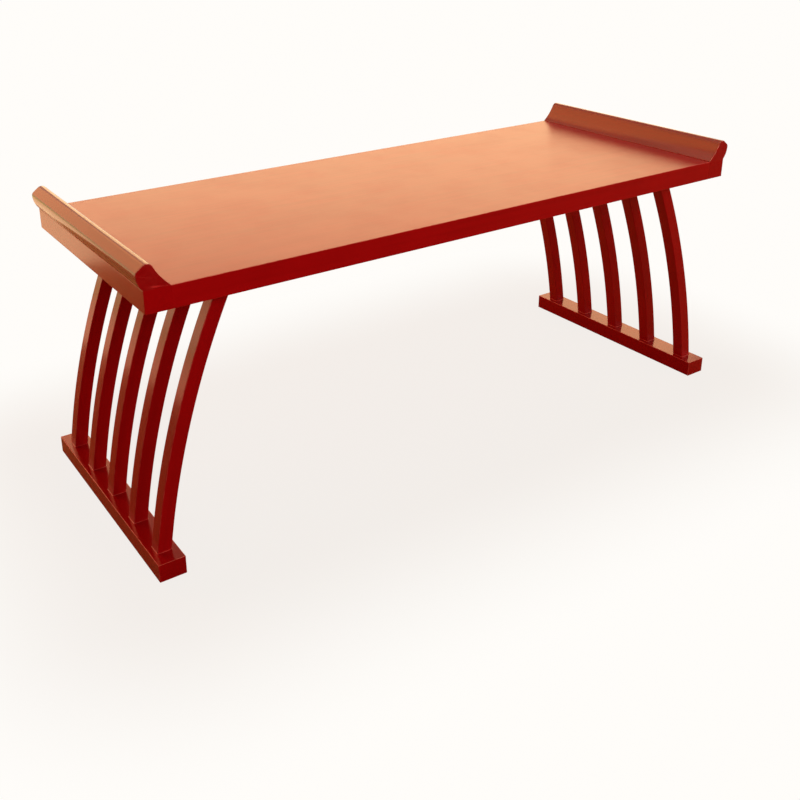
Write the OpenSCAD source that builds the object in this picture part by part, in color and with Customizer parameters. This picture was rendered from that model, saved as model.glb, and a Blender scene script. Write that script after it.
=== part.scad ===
// Low writing table with upturned end flanges and fans of bowed slats for legs.
//
// Three boards with loose tongues between them make the top. A cleat across each end of the
// boards holds them flat and carries a flange that keeps brushes from rolling off. Each leg
// frame has five bowed slats. They stand in a foot beam, and their top tenons go into a batten
// that slides into a dovetailed socket under the top from the back.
//
// Sizes are in millimetres. X runs along the table, the front edge is at -Y and +Z is up.
// The origin is on the floor under the middle of the table.

/* [Tabletop] */
// Length between the two end faces of the tabletop
top_length = 1200; // [1000:10:1500]
// Depth from the front edge to the back edge
top_depth = 460; // [400:5:600]
// Thickness of the boards and of the end cleats
top_thick = 35; // [30:1:45]
// Height of the writing surface above the floor
top_height = 466; // [400:1:560]
// Rounding of the tabletop's outer edges
top_ease = 1; // [0.5:0.1:3]

/* [Board joints] */
// Thickness of the loose tongues between the boards
loose_thick = 8; // [5:0.5:10]
// Width of the loose tongues, half of it in each board
loose_width = 22; // [14:1:30]
// Thickness of the tongues and tenons on the ends of the boards
end_thick = 10; // [6:0.5:12]
// How far the end tongues reach into the cleats
end_tongue = 10; // [6:0.5:14]
// How far the end tenons reach into the cleats
end_tenon = 26; // [18:1:30]
// Width of the end tenon in the middle of each board
end_tenon_width = 60; // [40:1:90]
// Solid wood between the end tongues and the front and back edges
tongue_stop = 15; // [8:1:25]

/* [End cleats and flanges] */
// Width of an end cleat and of the flange's foot on it
cleat_width = 41; // [36:1:50]
// Height of the flange above the writing surface
flange_height = 37.5; // [34:0.5:48]
// Radius of the flange's inner top edge
tip_r = 10; // [6:0.5:11]
// Distance of that radius's centre in from the end face
tip_inset = 8; // [6:0.5:12]
// Radius of the flange's outer roll
roll_r = 7; // [5:0.5:10]
// How far the roll stands out past the end face
roll_overhang = 9; // [4:0.5:12]
// Height of the roll's centre above the writing surface
roll_height = 23.5; // [18:0.5:27]
// Radius of the hollow that runs down to the step at the flange's foot
cove_r = 95; // [60:1:140]
// Height of the small upright step between the hollow and the writing surface
cove_step = 1.2; // [0.5:0.1:2]
// Radius of the belly between the roll and the end face
belly_r = 36; // [30:1:80]
// Diameter of the dowels under a flange
dowel_d = 8; // [6:1:10]
// Depth of a dowel's hole in the flange and in the cleat
dowel_depth = 14; // [10:1:18]
// Distance of the dowels in from the end face
dowel_inset = 16; // [13:1:18]
// Distance of the outer dowels from the front and back edges
dowel_end = 22; // [14:1:30]

/* [Leg slats] */
// Thickness of a slat, square to its curve
slat_thick = 23; // [18:1:30]
// Width of a slat from front to back
slat_width = 24; // [18:1:32]
// How far a slat's top end stands in from its bottom end
slat_lean = 125; // [90:5:170]
// How far a slat bows out from a straight line between its ends
slat_bow = 16; // [6:1:30]
// Distance of the outer slats from the tabletop's front and back edges
slat_set_back = 30; // [24:1:60]
// Width of the small chamfer along the slats' long edges
slat_chamfer = 0.8; // [0.5:0.1:3]
// Width of the shoulder round each slat tenon
slat_shoulder = 4; // [2:0.5:6]

/* [Battens] */
// Width of a batten below the tabletop
batten_width = 60; // [50:1:80]
// How far a batten stands below the tabletop
batten_drop = 8; // [5:0.5:10]
// Width of the batten's shoulders beside its dovetail
batten_shoulder = 3; // [2:0.5:6]
// Slope of the dovetail's sides in degrees
dovetail_slope = 8; // [5:1:12]
// How far a batten runs past the outer slats
batten_past = 10; // [6:1:16]
// Wood left between the dovetail socket and the loose tongues above it
socket_web = 1.5; // [1:0.5:3]
// Wood left in the batten above the slat tenons
batten_web = 3; // [2:0.5:5]
// Rounding of the battens' lower edges
batten_ease = 2; // [0.5:0.1:4]

/* [Foot beams] */
// Width of a foot beam
foot_width = 44; // [36:1:60]
// Height of a foot beam
foot_height = 30; // [26:1:45]
// How far a foot beam stands out past the end of the tabletop
foot_out = 15; // [0:1:40]
// How far a foot beam stops short of the tabletop's front and back edges
foot_set_back = 2.5; // [0:0.5:15]
// Length of the slat tenons in a foot beam
foot_tenon = 20; // [14:1:22]
// Rounding of the foot beams' edges
foot_ease = 1; // [0.5:0.1:4]

/* [Fits] */
// Gap on each side of a tongue, tenon, dowel or dovetail
joint_clear = 0.15; // [0.05:0.05:0.3]
// Gap at the blind end of a tongue, tenon or dowel, where glue collects
glue_space = 1; // [0.5:0.1:2]

/* [Hidden] */

LEFT = -1;
RIGHT = 1;
lacquer = [0.55, 0.03, 0.04];
bare_wood = [0.78, 0.62, 0.42];
board_count = 3;
slat_count = 5;
// How far a cutting shape runs past the face that it opens, and a tenon or root into its piece
overcut = 1;
// How far circles that touch overlap, so that their outlines join in a clean corner
touch = 0.005;
// Facets of a full circle for small roundings, for moulding curves and for the slats' long arc
round_fn = 32;
mould_fn = 180;
arc_fn = 900;

// Levels
underside = top_height - top_thick;
mid_level = underside + top_thick / 2;
batten_level = underside - batten_drop;

// Boards
half_length = top_length / 2;
half_depth = top_depth / 2;
board_end = half_length - cleat_width;
board_width = top_depth / board_count;

// Flange section, with x outward from the end face and y up from the writing surface
notch = [0, 0];
flange_foot = [-cleat_width, 0];
cove_foot = flange_foot + [0, cove_step];
tip_c = [-tip_inset, flange_height - tip_r];
roll_c = [roll_overhang - roll_r, roll_height];
// The hollow starts at the top of the step and touches the tip's circle from outside
cove_c = circles_meet(cove_foot, cove_r, tip_c, cove_r + tip_r - touch);
past_cove = tip_c + (tip_r + overcut) * unit(cove_c - tip_c);
// The belly passes through the notch and touches the roll's circle from inside
belly_c = circles_meet(notch, belly_r, roll_c, belly_r - roll_r + touch);
belly_touch = roll_c + roll_r * unit(roll_c - belly_c);
// The sloping flat touches the roll's and the tip's circles
flat_along = unit(roll_c - tip_c);
flat_turn = (tip_r - roll_r) / norm(roll_c - tip_c);
flat_normal = flat_turn * flat_along + sqrt(1 - flat_turn * flat_turn) * [-flat_along.y, flat_along.x];

// Slats: the arc's centre lies in the plane of the leg frame's side view
foot_x = half_length + foot_out - foot_width / 2;
slat_rise = underside - foot_height;
slat_chord = norm([slat_lean, slat_rise]);
slat_r = (slat_chord * slat_chord / 4 + slat_bow * slat_bow) / (2 * slat_bow);
slat_tilt = atan(slat_lean / slat_rise);
arc_x = foot_x - slat_lean / 2 - (slat_r - slat_bow) * cos(slat_tilt);
arc_z = foot_height + slat_rise / 2 - (slat_r - slat_bow) * sin(slat_tilt);
// The blank is cut longer than the slat at both ends, by its own thickness
arc_start = atan2(foot_height - slat_thick - arc_z, foot_x - arc_x);
arc_stop = atan2(underside + slat_thick - arc_z, foot_x - slat_lean - arc_x);
slat_pitch = (top_depth - 2 * slat_set_back - slat_width) / (slat_count - 1);
tenon_x = slat_thick - 2 * slat_shoulder;
tenon_y = slat_width - 2 * slat_shoulder;

// Battens
batten_x = slat_x(batten_level);
batten_front = half_depth - slat_set_back + batten_past;
dovetail_height = (top_thick - loose_thick) / 2 - socket_web;
dovetail_neck = batten_width - 2 * batten_shoulder;
batten_tenon = batten_drop + dovetail_height - batten_web - glue_space;

// Foot beams
foot_length = top_depth - 2 * foot_set_back;

function unit(v) = v / norm(v);

// Where two circles meet, on the left of the way from the first centre to the second
function circles_meet(p, p_r, q, q_r) =
    let (gap = norm(q - p),
         along = (p_r * p_r - q_r * q_r + gap * gap) / (2 * gap),
         across = sqrt(p_r * p_r - along * along),
         way = (q - p) / gap)
    p + along * way + across * [-way.y, way.x];

// Distance of a slat's centre line from the middle of the table at a height above the floor
function slat_x(z) = arc_x + sqrt(slat_r * slat_r - (z - arc_z) * (z - arc_z));

// Middle of a slat from front to back; slat 1 is the front one
function slat_y(number) = -half_depth + slat_set_back + slat_width / 2 + (number - 1) * slat_pitch;

// Front edge of a board; board 0 is the front one
function board_front(index) = -half_depth + index * board_width;

// Places along an end cleat where the flange's dowels stand, clear of the boards' tenons
dowel_places = [-half_depth + dowel_end, -board_width / 2, board_width / 2, half_depth - dowel_end];

// Puts a piece that is drawn at the right end of the table at either end
module at_end(side) {
    if (side == RIGHT) children();
    else mirror([1, 0, 0]) children();
}

// A rectangle from its lower left corner, with rounded corners on the sides that are named
module eased_rect(size, r, left = true, right = true) {
    from_left = left ? r : 0;
    from_right = right ? r : 0;
    translate([0, r]) square([size.x, size.y - 2 * r]);
    translate([from_left, 0]) square([size.x - from_left - from_right, size.y]);
    for (y = [r, size.y - r]) {
        if (left) translate([r, y]) circle(r, $fn = round_fn);
        if (right) translate([size.x - r, y]) circle(r, $fn = round_fn);
    }
}

// A rectangle from its lower left corner, with all four corners cut off at 45 degrees
module chamfered_rect(size, cut) {
    polygon([[cut, 0], [size.x - cut, 0], [size.x, cut], [size.x, size.y - cut],
             [size.x - cut, size.y], [cut, size.y], [0, size.y - cut], [0, cut]]);
}

// A solid whose section lies across X, from one x to another
module along_x(from, to) {
    translate([from, 0, 0]) rotate([90, 0, 90]) linear_extrude(to - from) children();
}

// A solid whose section lies across Y, from one y to another
module along_y(from, to) {
    translate([0, to, 0]) rotate([90, 0, 0]) linear_extrude(to - from) children();
}

// A box between two corners
module box(low, high) {
    translate(low) cube(high - low);
}

// One board of the top: its length, its tongue and tenon at each end, the grooves for the
// loose tongues in its inner edges, and its part of the two dovetail sockets
module top_board(index) {
    front = board_front(index);
    back = front + board_width;
    is_front = index == 0;
    is_back = index == board_count - 1;
    middle = (front + back) / 2;
    color(lacquer) difference() {
        union() {
            along_x(-board_end, board_end) translate([front, underside])
                eased_rect([board_width, top_thick], top_ease, is_front, is_back);
            box([-board_end - end_tongue, front + (is_front ? tongue_stop : 0), mid_level - end_thick / 2],
                [board_end + end_tongue, back - (is_back ? tongue_stop : 0), mid_level + end_thick / 2]);
            box([-board_end - end_tenon, middle - end_tenon_width / 2, mid_level - end_thick / 2],
                [board_end + end_tenon, middle + end_tenon_width / 2, mid_level + end_thick / 2]);
        }
        if (!is_front) loose_groove(front);
        if (!is_back) loose_groove(back);
        for (side = [LEFT, RIGHT]) at_end(side)
            dovetail(-batten_front - glue_space, half_depth + overcut, joint_clear);
    }
}

// The groove for a loose tongue, cut into the edges of two boards where they meet
module loose_groove(y) {
    half_groove = loose_width / 2 + glue_space;
    half_thick = loose_thick / 2 + joint_clear;
    box([-board_end, y - half_groove, mid_level - half_thick],
        [board_end, y + half_groove, mid_level + half_thick]);
}

// A loose tongue between two boards
module loose_tongue(y) {
    color(bare_wood)
    box([-board_end + joint_clear, y - loose_width / 2, mid_level - loose_thick / 2],
        [board_end - joint_clear, y + loose_width / 2, mid_level + loose_thick / 2]);
}

// The dovetail along the top of the right batten, or its socket when a gap is given
module dovetail(from, to, gap) {
    height = dovetail_height + gap;
    neck = dovetail_neck / 2 + gap;
    head = neck + height * tan(dovetail_slope);
    along_y(from, to) translate([batten_x, underside])
        polygon([[-neck, 0], [neck, 0], [head, height], [-head, height]]);
}

// The cleat across one end of the boards: a groove and three mortises for the boards' ends,
// and four holes for the flange's dowels. Its front and back edges stay sharp at the top, so
// that they run into the flange's ends without a groove.
module end_cleat(side) {
    groove_half = end_thick / 2 + joint_clear;
    groove_y = half_depth - tongue_stop + joint_clear;
    mortise_half = end_tenon_width / 2 + joint_clear;
    color(lacquer) at_end(side) difference() {
        intersection() {
            along_x(board_end, half_length) translate([-half_depth, underside]) {
                eased_rect([top_depth, top_thick], top_ease);
                translate([0, top_ease]) square([top_depth, top_thick - top_ease]);
            }
            along_y(-half_depth, half_depth) translate([board_end, underside])
                eased_rect([cleat_width, top_thick], top_ease, left = false);
            translate([board_end, -half_depth, underside]) linear_extrude(top_thick)
                eased_rect([cleat_width, top_depth], top_ease, left = false);
        }
        box([board_end - overcut, -groove_y, mid_level - groove_half],
            [board_end + end_tongue + glue_space, groove_y, mid_level + groove_half]);
        for (index = [0 : board_count - 1]) {
            middle = board_front(index) + board_width / 2;
            box([board_end - overcut, middle - mortise_half, mid_level - groove_half],
                [board_end + end_tenon + glue_space, middle + mortise_half, mid_level + groove_half]);
        }
        dowel_holes();
    }
}

// The dowels' holes, through the joint between the right cleat and its flange
module dowel_holes() {
    for (y = dowel_places)
        translate([half_length - dowel_inset, y, top_height - dowel_depth])
            cylinder(h = 2 * dowel_depth, d = dowel_d + 2 * joint_clear, $fn = round_fn);
}

// The four dowels under one flange
module flange_dowels(side) {
    color(bare_wood) at_end(side)
    for (y = dowel_places)
        translate([half_length - dowel_inset, y, top_height - dowel_depth + glue_space])
            cylinder(h = 2 * (dowel_depth - glue_space), d = dowel_d, $fn = round_fn);
}

// The flange's section: a small step, a hollow up to a rounded tip, a sloping flat down to an
// outer roll, and a belly that runs back in to the notch above the end face
module flange_section() {
    difference() {
        polygon([notch - [overcut, 0], roll_c, roll_c + (roll_r - touch) * flat_normal,
                 tip_c + (tip_r - touch) * flat_normal, tip_c, past_cove,
                 cove_foot + [0, overcut], flange_foot]);
        translate(cove_c) circle(cove_r, $fn = mould_fn);
    }
    translate(tip_c) circle(tip_r, $fn = mould_fn);
    translate(roll_c) circle(roll_r, $fn = mould_fn);
    intersection() {
        translate(belly_c) circle(belly_r, $fn = mould_fn);
        translate([-tip_inset, 0]) square([tip_inset + roll_overhang + overcut, belly_touch.y]);
    }
}

// The upturned flange along one end of the tabletop
module flange(side) {
    color(lacquer) at_end(side) difference() {
        along_y(-half_depth, half_depth) translate([half_length, top_height]) flange_section();
        dowel_holes();
    }
}

// The batten under one end of the boards: a dovetail that slides in from the back, shoulders
// that bear on the underside, and a mortise for each slat
module batten(side) {
    color(lacquer) at_end(side) difference() {
        union() {
            dovetail(-batten_front, half_depth, 0);
            along_y(-batten_front, batten_front) batten_section();
        }
        for (number = [1 : slat_count])
            slat_mortise(batten_x, slat_y(number), batten_level - overcut,
                         batten_level + batten_tenon + glue_space);
    }
}

// The part of a batten that shows below the tabletop, with its lower edges rounded, and the
// root that runs up from it into the dovetail
module batten_section() {
    left = batten_x - batten_width / 2;
    translate([left + batten_shoulder, batten_level + batten_ease])
        square([dovetail_neck, batten_drop - batten_ease + overcut]);
    translate([left, batten_level + batten_ease]) square([batten_width, batten_drop - batten_ease]);
    translate([left + batten_ease, batten_level]) square([batten_width - 2 * batten_ease, batten_drop]);
    for (x = [left + batten_ease, left + batten_width - batten_ease])
        translate([x, batten_level + batten_ease]) circle(batten_ease, $fn = round_fn);
}

// A mortise for one slat tenon, between two heights
module slat_mortise(x, y, low, high) {
    box([x - tenon_x / 2 - joint_clear, y - tenon_y / 2 - joint_clear, low],
        [x + tenon_x / 2 + joint_clear, y + tenon_y / 2 + joint_clear, high]);
}

// A bowed slat: a bar bent to one arc, cut level on the foot beam and under the batten, with
// an upright tenon at each end so that the leg frame goes together from above
module slat(side, number) {
    color(lacquer) at_end(side) translate([0, slat_y(number), 0]) {
        intersection() {
            translate([arc_x, 0, arc_z]) rotate([90, 0, 0]) rotate([0, 0, arc_start])
                rotate_extrude(angle = arc_stop - arc_start, $fn = arc_fn)
                    translate([slat_r - slat_thick / 2, -slat_width / 2])
                        chamfered_rect([slat_thick, slat_width], slat_chamfer);
            box([batten_x - batten_width, -slat_width, foot_height],
                [foot_x + foot_width, slat_width, batten_level]);
        }
        slat_tenon(foot_x, foot_height - foot_tenon, foot_height + overcut);
        slat_tenon(batten_x, batten_level - overcut, batten_level + batten_tenon);
    }
}

// An upright tenon on a slat, between two heights
module slat_tenon(x, low, high) {
    box([x - tenon_x / 2, -tenon_y / 2, low], [x + tenon_x / 2, tenon_y / 2, high]);
}

// The beam that the slats of one leg frame stand in
module foot_beam(side) {
    color(lacquer) at_end(side) difference() {
        intersection() {
            along_y(-foot_length / 2, foot_length / 2) translate([foot_x - foot_width / 2, 0])
                eased_rect([foot_width, foot_height], foot_ease);
            translate([foot_x - foot_width / 2, -foot_length / 2, 0]) linear_extrude(foot_height)
                eased_rect([foot_width, foot_length], foot_ease);
        }
        for (number = [1 : slat_count])
            slat_mortise(foot_x, slat_y(number), foot_height - foot_tenon - glue_space,
                         foot_height + overcut);
    }
}

top_board(0);  // top_board_front
top_board(1);  // top_board_middle
top_board(2);  // top_board_back
loose_tongue(board_front(1));  // front_loose_tongue
loose_tongue(board_front(2));  // back_loose_tongue
end_cleat(LEFT);  // left_end_cleat
end_cleat(RIGHT);  // right_end_cleat
flange(LEFT);  // left_flange
flange(RIGHT);  // right_flange
flange_dowels(LEFT);  // left_flange_dowels
flange_dowels(RIGHT);  // right_flange_dowels
batten(LEFT);  // left_batten
batten(RIGHT);  // right_batten
for (number = [1 : slat_count]) {
    slat(LEFT, number);
    slat(RIGHT, number);
}
foot_beam(LEFT);  // left_foot_beam
foot_beam(RIGHT);  // right_foot_beam
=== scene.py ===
# %% [markdown]
# # A low writing table in red lacquer
# The real table is a joiner's piece, about 1.2 m long: a thick top with an upturned flange at
# each end, on two fans of bowed slats that stand in a beam on the floor. It is lacquered all
# over in one deep, glossy red. The boards, cleats, battens and beams keep the meshes of the
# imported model, because their flat faces and true joints are already right. The flanges and the
# slats are made again here as numpy surfaces, because their soft arrises and the thin beads of
# lacquer at their joints are what catches the light. Lengths are in metres, X runs along the
# table, the front edge is at -Y and +Z is up.

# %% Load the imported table
import math

import bpy
import numpy as np
from mathutils import Matrix, Vector


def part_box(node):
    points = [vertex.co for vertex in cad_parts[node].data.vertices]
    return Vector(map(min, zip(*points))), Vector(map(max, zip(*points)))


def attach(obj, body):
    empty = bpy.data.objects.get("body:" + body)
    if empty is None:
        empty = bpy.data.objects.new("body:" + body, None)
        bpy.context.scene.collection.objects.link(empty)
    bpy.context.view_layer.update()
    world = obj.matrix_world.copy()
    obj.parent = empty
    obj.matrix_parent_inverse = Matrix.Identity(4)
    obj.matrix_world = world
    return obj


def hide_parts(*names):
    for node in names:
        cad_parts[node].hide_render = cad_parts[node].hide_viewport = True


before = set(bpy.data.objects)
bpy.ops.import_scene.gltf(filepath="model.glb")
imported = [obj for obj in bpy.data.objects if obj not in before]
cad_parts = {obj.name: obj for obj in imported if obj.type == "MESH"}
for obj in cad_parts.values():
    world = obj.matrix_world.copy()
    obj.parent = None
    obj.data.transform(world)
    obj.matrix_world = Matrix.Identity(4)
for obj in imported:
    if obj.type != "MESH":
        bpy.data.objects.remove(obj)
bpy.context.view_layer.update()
print("packed nodes:", len(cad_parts))

# %% [markdown]
# ## Camera
# The photograph is a crop of a larger picture, so the lens axis doesn't pass through its
# middle. The crop could be matched by turning the camera, but that would bend the upright
# lines another way. A small lens shift keeps them as they are.

# %% Camera
PHOTO_SIDE = 800
AXIS_PIXEL = (365, 265)
FOCAL_PIXELS = 995.2
SENSOR_WIDTH = 36
EYE = (-1.034, -1.418, 0.962)
HEADING = math.radians(33.61)
LOOK_DOWN = math.radians(20.565)
ROLL = math.radians(-0.564)


def add_camera():
    """A camera at EYE, turned from +Y towards +X by HEADING, down by LOOK_DOWN, and rolled."""
    data = bpy.data.cameras.new("camera")
    data.sensor_width = SENSOR_WIDTH
    data.lens = SENSOR_WIDTH * FOCAL_PIXELS / PHOTO_SIDE
    data.shift_x = 0.5 - AXIS_PIXEL[0] / PHOTO_SIDE
    data.shift_y = AXIS_PIXEL[1] / PHOTO_SIDE - 0.5
    camera = bpy.data.objects.new("camera", data)
    turn = Matrix.Rotation(-HEADING, 4, "Z")
    tip = Matrix.Rotation(math.pi / 2 - LOOK_DOWN, 4, "X")
    camera.matrix_world = Matrix.Translation(EYE) @ turn @ tip @ Matrix.Rotation(ROLL, 4, "Z")
    bpy.context.scene.collection.objects.link(camera)
    bpy.context.scene.camera = camera
    return data


lens = add_camera()
print("lens:", round(lens.lens, 2), "mm, shift:", lens.shift_x, lens.shift_y)

# %% [markdown]
# ## The sizes that the frame gives
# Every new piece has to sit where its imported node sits. So the levels and places are read from
# the nodes' boxes, and only what a box can't say, such as a radius, is written here.

# %% Levels and places
LEFT, RIGHT = -1, 1
SIDE_NAMES = {LEFT: "left", RIGHT: "right"}

cleat_low, cleat_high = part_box("right_end_cleat")
flange_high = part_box("right_flange")[1]
foot_low, foot_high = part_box("right_foot_beam")
batten_low, batten_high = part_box("right_batten")

TOP = cleat_high.z
UNDERSIDE = cleat_low.z
END = cleat_high.x
BOARD_END = cleat_low.x
HALF_DEPTH = cleat_high.y
FOOT_TOP = foot_high.z
FOOT_X = (foot_low.x + foot_high.x) / 2
BATTEN_LEVEL = batten_low.z
print("top", round(TOP, 4), "underside", round(UNDERSIDE, 4), "end", round(END, 4))
print("foot beam top", round(FOOT_TOP, 4), "batten level", round(BATTEN_LEVEL, 4))

# %% [markdown]
# ## From rings of points to a mesh
# A flange is one profile carried along the table's depth, and a slat is one section carried
# along an arc. Both are a stack of rings with the same number of points. A Bevel modifier
# could round their edges too, but a large flat face beside a small rounding shades wrongly
# unless each corner has the normal of the true surface. So the rings come with their normals,
# and each quad is either smooth, with those normals, or flat.


# %% Faces between rings
def band_faces(rings, around):
    """Quads between neighbouring rings: ring i, place j is point i * around + j."""
    start = np.arange(rings - 1)[:, None] * around
    here = np.arange(around)[None, :]
    ahead = (here + 1) % around
    quads = [start + here, start + ahead, start + around + ahead, start + around + here]
    return np.stack(quads, -1).reshape(-1, 4)


def cap_faces(first, around):
    """Quads across a closed ring: place j pairs with its mirror image, around - 1 - j."""
    here = np.arange(around // 2 - 1)
    quads = [here + 1, here, around - 1 - here, around - 2 - here]
    return first + np.stack(quads, -1)


print("quads between two rings of eight points:", len(band_faces(2, 8)))
print("quads across one of them:", len(cap_faces(0, 8)))

# %% Normals and volume of quads
NO_AREA = 1e-12


def face_normals(points, faces):
    """Unit normals of quads, from the cross product of each quad's diagonals. The length is
    kept above NO_AREA, because a quad may have shrunk to a line."""
    a, b, c, d = (points[faces[:, i]] for i in range(4))
    across = np.cross(c - a, d - b)
    length = np.linalg.norm(across, axis=1, keepdims=True)
    return across / np.maximum(length, NO_AREA)


def volume(points, faces):
    """Volume inside closed quads: a sixth of the sum of p0 . (p1 x p2) over their triangles."""
    a, b, c, d = (points[faces[:, i]] for i in range(4))
    return float(np.einsum("ij,ij->i", a, np.cross(b, c) + np.cross(c, d)).sum() / 6)


unit_square = np.array([[0, 0], [1, 0], [1, 1], [0, 1]])
unit_cube = np.array([[x, y, z] for z in (0, 1) for x, y in unit_square])
unit_faces = np.concatenate([band_faces(2, 4), cap_faces(0, 4), cap_faces(4, 4)[:, ::-1]])
print("volume of a unit cube:", volume(unit_cube, unit_faces))


# %% Rings to a mesh
def add_rings(name, rings, normals, flat, arris, grain):
    """A closed piece from rings of points, (rings, around, 3), with both ends capped.
    flat says for each quad between rings whether it is flat. arris is each point's distance
    from the nearest arris, and grain is its place in the wood, with the fibres along X."""
    count, around = rings.shape[:2]
    points = rings.reshape(-1, 3)
    bands = band_faces(count, around)
    far_cap = cap_faces((count - 1) * around, around)[:, ::-1]
    faces = np.concatenate([bands, cap_faces(0, around), far_cap])
    is_flat = np.concatenate([flat.ravel(), np.ones(len(faces) - len(bands), bool)])
    if volume(points, faces) < 0:
        faces = faces[:, ::-1]
    corner_normals = normals.reshape(-1, 3)[faces]
    corner_normals[is_flat] = face_normals(points, faces)[is_flat][:, None, :]
    mesh = bpy.data.meshes.new(name)
    mesh.from_pydata(points.tolist(), [], faces.tolist())
    mesh.polygons.foreach_set("use_smooth", np.ones(len(faces), bool))
    mesh.normals_split_custom_set(corner_normals.reshape(-1, 3).tolist())
    mesh.attributes.new("arris", "FLOAT", "POINT").data.foreach_set("value", arris.ravel())
    mesh.attributes.new("grain", "FLOAT_VECTOR", "POINT").data.foreach_set("vector", grain.ravel())
    piece = bpy.data.objects.new(name, mesh)
    bpy.context.scene.collection.objects.link(piece)
    print(f"{name}: {len(points)} points, {volume(points, faces) * 1e6:.1f} cm3")
    return piece


def stands_for(piece, node):
    """The piece rides on the table's one body and takes the place of a node, which is hidden."""
    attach(piece, "root")
    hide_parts(node)
    return piece


# %% [markdown]
# ## Flanges
# The flange is a moulding that keeps brushes from rolling off. Its inner side is a hollow that
# runs up to a rounded tip. Outside, a sloping flat leads down to a roll, and a belly turns
# back in to the notch above the end face. At the hollow's foot a joiner leaves a small upright
# step, because a feather edge would break away. A curve object could carry a drawn profile,
# but the arcs meet in tangents. So each circle's centre is worked out from its neighbours, and
# the inset profiles for the soft end arrises are the same formula with other radii.

# %% Circles of the flange's profile
COVE_RADIUS = 0.095
TIP_RADIUS = 0.010
TIP_INSET = 0.008
ROLL_RADIUS = 0.007
ROLL_LEVEL = 0.0235
BELLY_RADIUS = 0.036
STEP_RISE = 0.0012
STEP_RADIUS = 0.0005
FLANGE_ARRIS = 0.0010


def circles_meet(p, p_radius, q, q_radius):
    """Where circles about p and q meet, on the left of the way from p to q."""
    gap = np.linalg.norm(q - p)
    way = (q - p) / gap
    along = (p_radius**2 - q_radius**2 + gap**2) / (2 * gap)
    across = math.sqrt(p_radius**2 - along**2)
    return p + along * way + across * np.array([-way[1], way[0]])


def angle_of(vector):
    """The direction of a vector in the profile's plane, from +X towards +Y."""
    return math.atan2(vector[1], vector[0])


step_centre = np.array([BOARD_END - END + STEP_RADIUS, STEP_RISE - STEP_RADIUS])
tip_centre = np.array([-TIP_INSET, flange_high.z - TOP - TIP_RADIUS])
roll_centre = np.array([flange_high.x - END - ROLL_RADIUS, ROLL_LEVEL])
notch = np.zeros(2)
cove_centre = circles_meet(
    step_centre, COVE_RADIUS + STEP_RADIUS, tip_centre, COVE_RADIUS + TIP_RADIUS
)
belly_centre = circles_meet(notch, BELLY_RADIUS, roll_centre, BELLY_RADIUS - ROLL_RADIUS)
print("centres of the hollow and the belly:", cove_centre.round(4), belly_centre.round(4))

# %% Profile of the flange
ARC_STEPS = {"step": 4, "cove": 28, "tip": 18, "roll": 12, "belly": 17}


def flange_profile(inset):
    """The outline from the hollow's foot over the tip and the roll to the notch, one for each
    inset. Each stretch is centre + radius * (cos a, sin a). An inset makes the hollow's radius
    larger and the others smaller, and the first and last points stay on the writing surface.
    The step's circle keeps touching the hollow while its radius shrinks to nothing."""
    inset = np.asarray(inset)[:, None]
    flat_way = roll_centre - tip_centre
    flat_lean = math.acos((TIP_RADIUS - ROLL_RADIUS) / np.linalg.norm(flat_way))
    flat_turn = angle_of(flat_way) + flat_lean
    tip_turn = angle_of(cove_centre - tip_centre)
    belly_turn = angle_of(roll_centre - belly_centre)
    reach = np.maximum(inset, STEP_RADIUS)
    step_x = BOARD_END - END + reach
    drop = np.sqrt((COVE_RADIUS + reach) ** 2 - (step_x - cove_centre[0]) ** 2)
    step = np.stack([step_x, cove_centre[1] - drop], -1)
    step_turn = np.arctan2(drop, cove_centre[0] - step_x)
    notch_turn = -np.arcsin(belly_centre[1] / (BELLY_RADIUS - inset))
    stretches = [
        ("step", step, np.maximum(STEP_RADIUS - inset, 0), math.pi, step_turn, 1),
        ("cove", cove_centre, COVE_RADIUS + inset, step_turn - math.pi, tip_turn - math.pi, -1),
        ("tip", tip_centre, TIP_RADIUS - inset, tip_turn, flat_turn, 1),
        ("roll", roll_centre, ROLL_RADIUS - inset, flat_turn, belly_turn, 1),
        ("belly", belly_centre, BELLY_RADIUS - inset, belly_turn, notch_turn, 1),
    ]
    points, normals = [], []
    for name, centre, radius, start, stop, outward in stretches:
        turn = start + (stop - start) * np.linspace(0, 1, ARC_STEPS[name] + 1)
        direction = np.stack([np.cos(turn), np.sin(turn)], -1) * np.ones((len(inset), 1, 1))
        points.append(centre + radius[..., None] * direction)
        normals.append(outward * direction)
    foot = points[0][:, :1] * [1, 0]
    points = np.concatenate([foot, *points], 1)
    return points, np.concatenate([normals[0][:, :1], *normals], 1)


plain_outline = flange_profile([0.0])[0][0]
print("profile:", len(plain_outline), "points")
print("from", plain_outline[0].round(4), "to", plain_outline[-1].round(4))

# %% Carry the profile along the table's depth
ARRIS_STEPS = 6

# Added to a point's way to the crest, so that the pale line along it, partly rubbed lacquer and
# partly a painted highlight, isn't at full strength all along it.
CREST_SOFTNESS = 0.0004


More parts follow.
